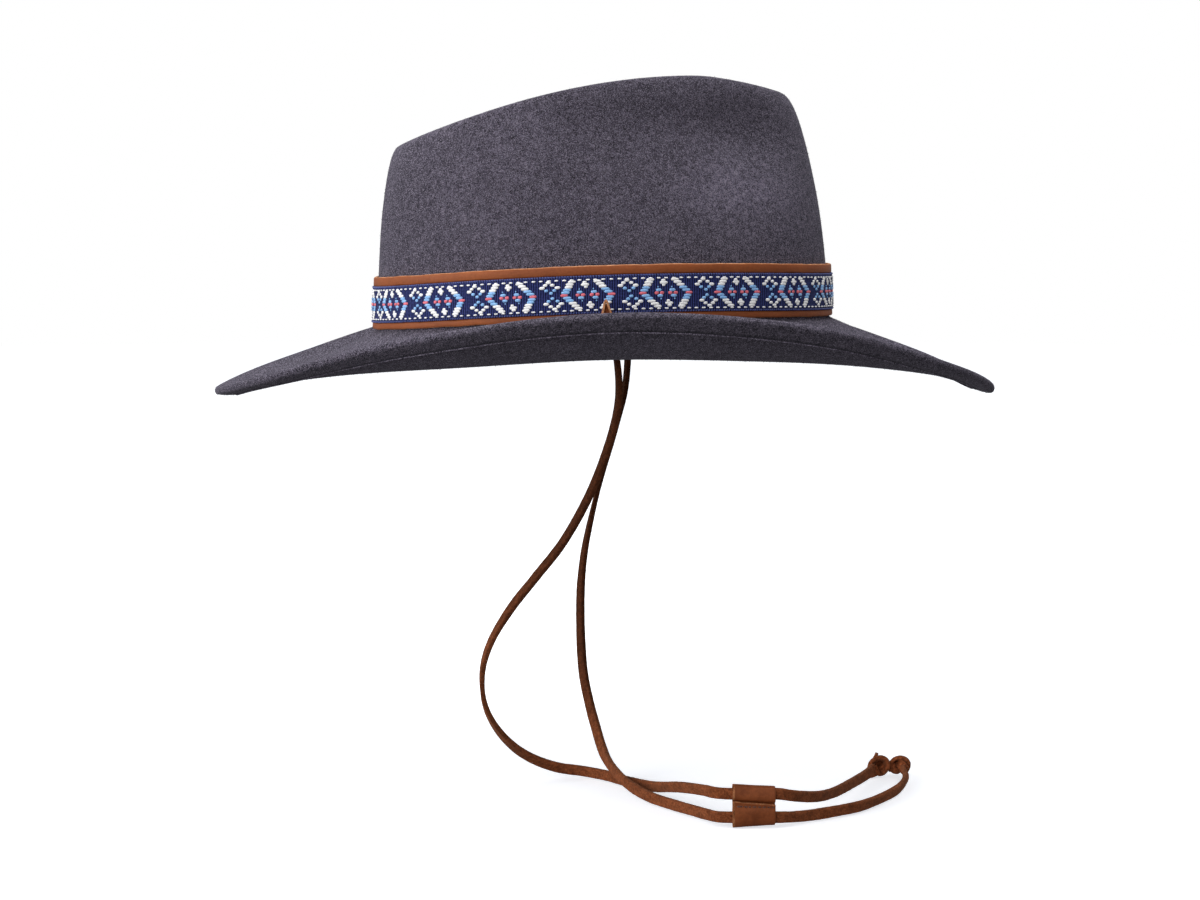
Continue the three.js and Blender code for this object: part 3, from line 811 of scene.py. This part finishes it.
def figure():
    """One repeat of the woven figure, as shade, along, row, long and high."""
    floats = []
    for f in FLOATS_LEVEL:
        floats += [(f["shade"], way * f["along"], 0, f["long"], f["high"]) for way in (-1, 1)]
    for f in FLOATS_FOUR:
        floats += [(f["shade"], way * f["along"], rise * f["row"], f["long"], f["high"])
                   for way in (-1, 1) for rise in (-1, 1)]
    for f in FLOATS_TWO:
        floats += [(f["shade"], f["along"], rise * f["row"], f["long"], f["high"])
                   for rise in (-1, 1)]
    for row in (DASHES["top"], DASHES["bottom"]):
        floats += [("white", k - 4.5, row, DASHES["long"], DASHES["high"]) for k in range(10)]
    return floats


def thread_tile(ease, segments):
    """A small body of unit size with rounded edges."""
    bm = bmesh.new()
    bmesh.ops.create_cube(bm, size=1)
    bmesh.ops.bevel(bm, geom=bm.edges[:] + bm.verts[:], offset=ease, segments=segments,
                    profile=0.5, affect="EDGES", material=-1)
    return tile_of(bm)


def on_ribbon(turns, length, along, up, away):
    """A place on the ribbon's face, in metres along it and millimetres up, and its directions."""
    near = RIGHT_SIDE * len(turns)
    t = turns[round(near + along / length * len(turns)) % len(turns)]
    tangent = (fold(t + 0.01)[0] - fold(t - 0.01)[0]).normalized()
    return seat_point(t, away, up), tangent, fold(t)[1]


def ribbon_floats():
    """The threads that float on the ribbon's face, one joined mesh for each shade."""
    turns, length = even_turns(RIBBON["face"], FINE_STEPS)
    pitch = length / REPEATS / 10
    middle = (RIBBON["low"] + RIBBON["high"]) / 2
    tile = thread_tile(0.38, 2)
    rng = random.Random(11)
    places = {shade: [] for shade in THREADS}
    for repeat in range(REPEATS):
        for shade, along, row, long, high in figure():
            up = row * ROW
            shift = (repeat * 10 + along) * pitch + (PHASE - COLUMN_SLANT * up) * MM
            shift += 0.04 * pitch * rng.uniform(-1, 1)
            away = RIBBON["face"] + FLOAT["off"] + FLOAT["uneven"] * rng.random()
            at, tangent, out = on_ribbon(turns, length, shift, middle + up, away)
            tilt = Z + 0.05 * rng.uniform(-1, 1) * tangent
            size = (long * pitch * rng.uniform(0.95, 1.05), FLOAT["thick"] * MM,
                    high * ROW * MM * rng.uniform(0.93, 1.03))
            places[shade].append(axes(tangent * size[0], out * size[1], tilt * size[2], at))
    pieces = []
    for shade, thread in THREADS.items():
        bm = bmesh.new()
        scatter(bm, tile, places[shade])
        pieces.append(piece(bm, f"ribbon_threads_{shade}", thread))
    bpy.data.meshes.remove(tile)
    return pieces


def ribbon_edges():
    """The beads of the woven edge, along the top and the bottom of the ribbon."""
    turns, length = even_turns(RIBBON["face"], FINE_STEPS)
    tile = thread_tile(0.28, 1)
    count = round(length / MM / BEAD["pitch"])
    places = []
    for up, sway in ((RIBBON["low"] + BEAD["inset"], 1), (RIBBON["high"] - BEAD["inset"], -1)):
        for k in range(count):
            at, tangent, out = on_ribbon(turns, length, k * length / count, up, RIBBON["face"])
            lean = Z + BEAD["lean"] * sway * tangent
            places.append(axes(tangent * BEAD["long"] * MM, out * BEAD["out"] * MM,
                               lean * BEAD["high"] * MM, at))
    bm = bmesh.new()
    scatter(bm, tile, places)
    bpy.data.meshes.remove(tile)
    return piece(bm, "ribbon_edge_beads", navy_thread)


band = leather_band()
woven = ribbon()
threads = [*ribbon_floats(), ribbon_edges()]


# ---------- slider

# The strap of the slider seen along the laces, as (towards the camera, up) from its middle: from
# the flap's cut edge down over the lower lace, up the back, over the upper lace and in under the
# flap. It runs SLIDER_HALF to each side of the middle and is cut into SLIDER_CUTS along it.
SLIDER_AT = (61.8, -100, -201.2)
SLIDER_HALF = 9.1
SLIDER_THICK = 1.25
SLIDER_PATH = (
    (2.62, 1.6), (2.46, 1.05), (2.2, 0.35), (2.1, -0.35), (2.42, -1.3), (2.5, -2.8), (2.35, -4.6),
    (2.15, -6.2), (1.85, -7.7), (1.1, -8.7), (0, -8.9), (-1.1, -8.7), (-1.85, -7.7), (-2.0, -6.2),
    (-1.95, -4.4), (-1.6, -2.4), (-0.95, -0.9), (-0.8, 0), (-0.95, 0.9), (-1.6, 2.4),
    (-1.95, 4.4), (-2.0, 6.2), (-1.85, 7.7), (-1.1, 8.7), (0, 8.9), (1.1, 8.7), (1.9, 7.7),
    (2.2, 6.2), (2.3, 4.8), (2.32, 3.6), (1.75, 2.85), (0.7, 2.5), (0.25, 1.4), (0.4, 0),
    (0.5, -1.4),
)
SLIDER_CUTS = 14
# The flap's edge, at this place of the path, runs down to the front by so much, which fades out
# over its reach. The strap is a little narrower at the front.
FLAP = {"out": 2.35, "up": 1.35, "reach": 4, "fall": 0.75}
SLIDER_NARROWING = 0.062
# How far the end that faces the near lace is worn light
WORN_END = 0.6


def slider():
    """The strap, folded round both laces, uneven as a piece cut by hand, with eased edges."""
    bm = bmesh.new()
    verts = [bm.verts.new((-SLIDER_HALF * MM, -out * MM, up * MM)) for out, up in SLIDER_PATH]
    edges = [bm.edges.new(pair) for pair in zip(verts, verts[1:])]
    step = 2 * SLIDER_HALF / SLIDER_CUTS * MM
    for _ in range(SLIDER_CUTS):
        made = bmesh.ops.extrude_edge_only(bm, edges=edges)["geom"]
        bmesh.ops.translate(bm, vec=X * step,
                            verts=[v for v in made if isinstance(v, bmesh.types.BMVert)])
        edges = [e for e in made if isinstance(e, bmesh.types.BMEdge)
                 and all(v in made for v in e.verts)]
    worn = (WORN_END - SLIDER_HALF) * MM
    for vert in bm.verts:
        if abs(vert.co.x + SLIDER_HALF * MM - step) < WELD * MM:
            vert.co.x = worn
    for face in bm.faces:
        if face.calc_center_median().x < worn:
            face.material_index = 1
    for vert in bm.verts:
        along = vert.co.x / (SLIDER_HALF * MM)
        edge = Vector((vert.co.x, -FLAP["out"] * MM, FLAP["up"] * MM))
        flap = max(0, 1 - (vert.co - edge).length / (FLAP["reach"] * MM))
        vert.co.z *= 1 - SLIDER_NARROWING * (along + 1)
        vert.co.z -= FLAP["fall"] * along * flap * MM
        vert.co.y += 0.12 * MM * wander(vert.co, 0.004, 2)
        vert.co.z += 0.10 * MM * wander(vert.co, 0.005, 4)
        vert.co.x += 0.22 * MM * wander(vert.co, 0.003, 6) * abs(along) ** 3
    bmesh.ops.recalc_face_normals(bm, faces=bm.faces)
    bmesh.ops.translate(bm, verts=bm.verts, vec=Vector(SLIDER_AT) * MM)
    in_order(bm)
    obj = piece(bm, "slider_strap", slider_leather, worn_edge)
    wall = obj.modifiers.new("thickness", "SOLIDIFY")
    wall.thickness = SLIDER_THICK * MM
    wall.offset = 0
    wall.material_offset_rim = 1
    ease = obj.modifiers.new("edges", "BEVEL")
    ease.width = 0.22 * MM
    ease.segments = 2
    ease.limit_method = "ANGLE"
    ease.angle_limit = radians(50)
    subdivided(obj, 1)
    return obj


# Stitches that hold the flap down: places along the slider, and how far each thread runs. Their
# row stands this far out from the slider's middle, and falls a little to the front.
STITCHES = (
    (-6.2, 2.6), (-3.6, 1.5), (-1.9, 1.2), (0.1, 1.9), (2.3, 1.4), (4.3, 1.6), (6.2, 1.2),
    (8.0, 1.2),
)
STITCH = {"out": 2.78, "fall": 0.03, "wide": 0.8, "high": 0.85, "tilt": 8}


def stitches():
    """Short threads, each one tilted a little its own way."""
    bm = bmesh.new()
    bmesh.ops.create_uvsphere(bm, u_segments=8, v_segments=6, radius=0.5)
    in_order(bm)
    tile = tile_of(bm)
    places = []
    for at, long in STITCHES:
        spot = (Vector(SLIDER_AT) + Vector((at, -STITCH["out"], -STITCH["fall"] * at))) * MM
        lean = Matrix.Rotation(radians(STITCH["tilt"] * sin(at)), 3, Y)
        places.append(axes(lean @ X * long * MM, Y * STITCH["wide"] * MM,
                           lean @ Z * STITCH["high"] * MM, spot))
    bm = bmesh.new()
    scatter(bm, tile, places)
    bpy.data.meshes.remove(tile)
    return piece(bm, "slider_stitches", stitch_thread)


# ---------- knots


def swept(line, widths, section, width_way):
    """A lace carried along a line with its width kept near a direction."""
    rings = []
    for k, point in enumerate(line):
        tangent = (line[min(k + 1, len(line) - 1)] - line[max(k - 1, 0)]).normalized()
        through = tangent.cross(width_way).normalized()
        width = through.cross(tangent).normalized()
        ring = []
        for x, y in section:
            spot = point + (width * x * widths[k] + through * y * widths[k] ** 0.5) * MM
            ring.append(spot + (spot - point).normalized() * 0.1 * MM * wander(spot, 0.002, 9))
        rings.append(ring)
    return loft(rings)


# Each end knot, from the place of its middle: its strands of lace as (to the front, away from the
# camera, up), how far each one's broad side is turned from the camera at its start and end, and
# its width and thickness. The first is the turn round the outside.
KNOT_RIGHT = {
    "at": (128.0, 4.9, -204.9),
    "strands": (
        {"route": ((-3.4, 1.2, -2.0), (-3.1, 0.2, 0.4), (-1.6, -0.6, 2.3), (0.6, -1.0, 3.2),
                   (2.7, -1.2, 2.5), (3.8, -1.0, 0.5), (3.3, -0.6, -1.8), (1.9, 0, -3.6),
                   (0.2, 0.6, -4.2)),
         "turn": (56, 82), "wide": 4.6, "thick": 1.9},
        {"route": ((-4.6, -2.2, -3.6), (-3.0, -3.2, -2.9), (-1.6, -3.8, -2.2), (-0.5, -3.7, -1.7)),
         "turn": (4, 8), "wide": 4.9, "thick": 2.0},
        {"route": ((1.3, 0.9, -1.0), (1.6, 0.3, -2.0), (1.4, -0.2, -3.1), (0.7, 0, -4.0)),
         "turn": (10, 20), "wide": 3.2, "thick": 1.9},
        {"route": ((-2.0, 0.6, 2.4), (-1.2, 0.3, 4.0), (-0.7, 0.2, 5.3)),
         "turn": (50, 60), "wide": 1.9, "thick": 1.3},
        {"route": ((-2.6, 2.2, -1.4), (-0.8, 3.0, -0.2), (1.2, 3.2, 0.2), (2.8, 3.0, -0.6)),
         "turn": (0, 0), "wide": 5.2, "thick": 2.0},
    ),
}
KNOT_LEFT = {
    "at": (137.8, 6.2, -205.2),
    "strands": (
        {"route": ((-3.6, 0.6, -2.6), (-3.9, 0, -0.2), (-2.9, -0.6, 2.0), (-0.8, -1.0, 3.3),
                   (1.6, -1.2, 3.2), (3.5, -0.8, 1.6), (3.8, 0, -0.6), (3.3, 0.8, -2.4)),
         "turn": (72, 80), "wide": 4.8, "thick": 1.8},
        {"route": ((-0.4, -1.0, 1.4), (0.6, -2.8, 0.4), (1.5, -4.4, -0.9), (2.2, -5.4, -1.9)),
         "turn": (30, 10), "wide": 4.6, "thick": 2.0},
        {"route": ((-3.4, -0.4, 0.4), (-3.3, -1.0, -1.4), (-2.2, -1.4, -2.8), (-0.6, -1.0, -3.0),
                   (0.5, -0.2, -2.2)),
         "turn": (40, 62), "wide": 3.6, "thick": 1.7},
        {"route": ((-2.8, 2.6, -1.2), (-1.0, 3.0, -0.4), (1.0, 3.0, 0.2), (2.6, 2.6, 0.4)),
         "turn": (0, 0), "wide": 5.2, "thick": 2.0},
    ),
}


def end_knot(name, knot):
    """The strands of a knot, joined in one mesh."""
    bm = bmesh.new()
    for number, strand in enumerate(knot["strands"]):
        route = [[a + b for a, b in zip(knot["at"], point)] for point in strand["route"]]
        line, _ = curve_through(route, 0.6)
        frames = lace_frames(line, ((0, strand["turn"][0]), (1, strand["turn"][1])))
        section = lace_section(strand["wide"], strand["thick"], LACE["corner"])
        made = tile_of(loft(lace_skin(frames, section, seed=number + 11, rough=0.14)))
        bm.from_mesh(made)
        bpy.data.meshes.remove(made)
    return piece(bm, name, suede)


# The knot above the brim, as places to the front and up from PEAK_UP above the fold: the lace's
# fold that stands up as a narrow peak, and the lace's other end that fills it, with its widths.
# The turn of lace round the peak's foot is an oval that rises as it goes.
PEAK_UP = 3.4
PEAK = (
    (-3.1, -1.5), (-2.75, 1.2), (-2.1, 4.2), (-1.45, 7.0), (-0.95, 9.4), (-0.5, 10.4),
    (-0.05, 9.4), (0.75, 7.0), (1.75, 4.2), (2.75, 1.2), (3.3, -1.5),
)
FILLING = ((0.1, -1.5), (0, 1.2), (-0.15, 4.0), (-0.3, 6.4), (-0.42, 8.6))
FILLING_WIDTHS = (1, 0.88, 0.66, 0.42, 0.2)
FOOT = {"front": 3.1, "side": 2.3, "up": 2.2, "rise": 1.6, "turns": 1.2, "steps": 40}


def stopper(name, x, y):
    """The knot that stops a lace above the brim. The peak's cut edges show to both sides."""
    peak = [Vector((x + dx, y, PEAK_UP + dz)) * MM for dx, dz in PEAK]
    bm = swept(peak, [1] * len(peak), lace_section(4.4, 0.95, 0.25), Y)
    bm.normal_update()
    for face in bm.faces:
        if abs(face.normal.y) > 0.6:
            face.material_index = 1
    ring = []
    for k in range(FOOT["steps"] + 1):
        share = k / FOOT["steps"]
        angle = share * FOOT["turns"] * 2 * pi
        ring.append(Vector((x + FOOT["front"] * cos(angle), y + FOOT["side"] * sin(angle),
                            FOOT["up"] + FOOT["rise"] * share)) * MM)
    inner = [Vector((x + dx, y, PEAK_UP + dz)) * MM for dx, dz in FILLING]
    for line, widths, shape, way in (
        (ring, [0.8] * len(ring), lace_section(4.2, 1.8, 0.5), Z),
        (inner, FILLING_WIDTHS, lace_section(5.4, 3.6, 0.4), X),
    ):
        made = tile_of(swept(line, widths, shape, way))
        bm.from_mesh(made)
        bpy.data.meshes.remove(made)
    return piece(bm, name, suede, cut_edge)


slide = slider()
slide_stitches = stitches()
knot_right = end_knot("end_knot_right_lace", KNOT_RIGHT)
knot_left = end_knot("end_knot_left_lace", KNOT_LEFT)
stop_right = stopper("stopper_right_lace", -0.5, -93.6)
stop_left = stopper("stopper_left_lace", 11.5, 93.6)


# ---------- pieces attached to the root body, with the CAD parts they stand for hidden

for obj, node_name, slot in (
    (hat, "felt_body", "felt"),
    (band, "leather_band", "band_leather"),
    (woven, "woven_ribbon", "ribbon_weave"),
    (lace_pieces["right"]["obj"], "lace_right", "lace_suede"),
    (lace_pieces["left"]["obj"], "lace_left", "lace_suede"),
    (slide, "slider", "slider_leather"),
    (knot_right, "end_knot_right", "lace_suede"),
    (knot_left, "end_knot_left", "lace_suede"),
    (stop_right, "stopper_knot_right", "lace_suede"),
    (stop_left, "stopper_knot_left", "lace_suede"),
):
    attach(obj, "root")
    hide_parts(node_name)
for obj in threads:
    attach(obj, "root")

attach(nap, "root")
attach(slide_stitches, "root")


# ---------- floor and light


def make_stage():
    """A pale round floor, which lights nothing and isn't mirrored."""
    bm = bmesh.new()
    bmesh.ops.create_circle(bm, cap_ends=True, segments=96, radius=4)
    bmesh.ops.translate(bm, verts=bm.verts, vec=Z * FLOOR * MM)
    pale = finish("pale floor")
    surface(pale, Base_Color=(0.85, 0.85, 0.86, 1), Roughness=1.0, Specular_IOR_Level=0,
            Emission_Color=(0.92, 0.95, 1, 1), Emission_Strength=0.62)
    floor = piece(bm, "floor", pale, smooth=False)
    floor.visible_diffuse = False
    floor.visible_glossy = False


# Soft boxes: degrees to the left of the camera and up from level as seen from the hat, distance
# and size in metres, and power
LIGHTS = (
    {"name": "front", "left": 30, "up": 8, "far": 2.0, "size": 1.4, "power": 14.3},
    {"name": "side", "left": 80, "up": 15, "far": 2.0, "size": 1.4, "power": 23.5},
    {"name": "overhead", "left": 0, "up": 88, "far": 2.0, "size": 1.4, "power": 38.4},
)
# How bright the white room is around the hat, below and above the level, and the heights of the
# direction looked in between which it changes
ROOM = {"below": 0.224, "above": 0.51, "from": -0.3, "to": 0.3}


def soft_light(light):
    """A square soft box that faces the hat."""
    data = bpy.data.lights.new(light["name"], "AREA")
    data.size = light["size"]
    data.energy = light["power"]
    lamp = bpy.data.objects.new(light["name"], data)
    left, up = radians(light["left"]), radians(light["up"])
    way = Vector((-sin(left) * cos(up), -cos(left) * cos(up), sin(up)))
    lamp.location = way * light["far"]
    lamp.rotation_euler = way.to_track_quat("Z", "Y").to_euler()
    bpy.context.scene.collection.objects.link(lamp)


def make_light():
    """A white room, seen plain white, with soft boxes in front, at the left and overhead."""
    world = bpy.data.worlds.new("white room")
    bpy.context.scene.world = world
    world.use_nodes = True
    world.node_tree.nodes.clear()
    way = node(world, "ShaderNodeTexCoord").outputs["Generated"]
    strength = node(world, "ShaderNodeMapRange", {
        "Value": node(world, "ShaderNodeSeparateXYZ", {"Vector": way}).outputs["Z"],
        "From Min": ROOM["from"], "From Max": ROOM["to"],
        "To Min": ROOM["below"], "To Max": ROOM["above"],
    }).outputs["Result"]
    white = (1, 1, 1, 1)
    room = node(world, "ShaderNodeBackground", {"Color": white, "Strength": strength})
    seen = node(world, "ShaderNodeBackground", {"Color": white})
    mix = node(world, "ShaderNodeMixShader", {
        0: node(world, "ShaderNodeLightPath").outputs["Is Camera Ray"],
        1: room.outputs[0], 2: seen.outputs[0],
    })
    node(world, "ShaderNodeOutputWorld", {"Surface": mix.outputs[0]})
    for light in LIGHTS:
        soft_light(light)


make_stage()
make_light()
bpy.context.scene.view_settings.view_transform = "Standard"
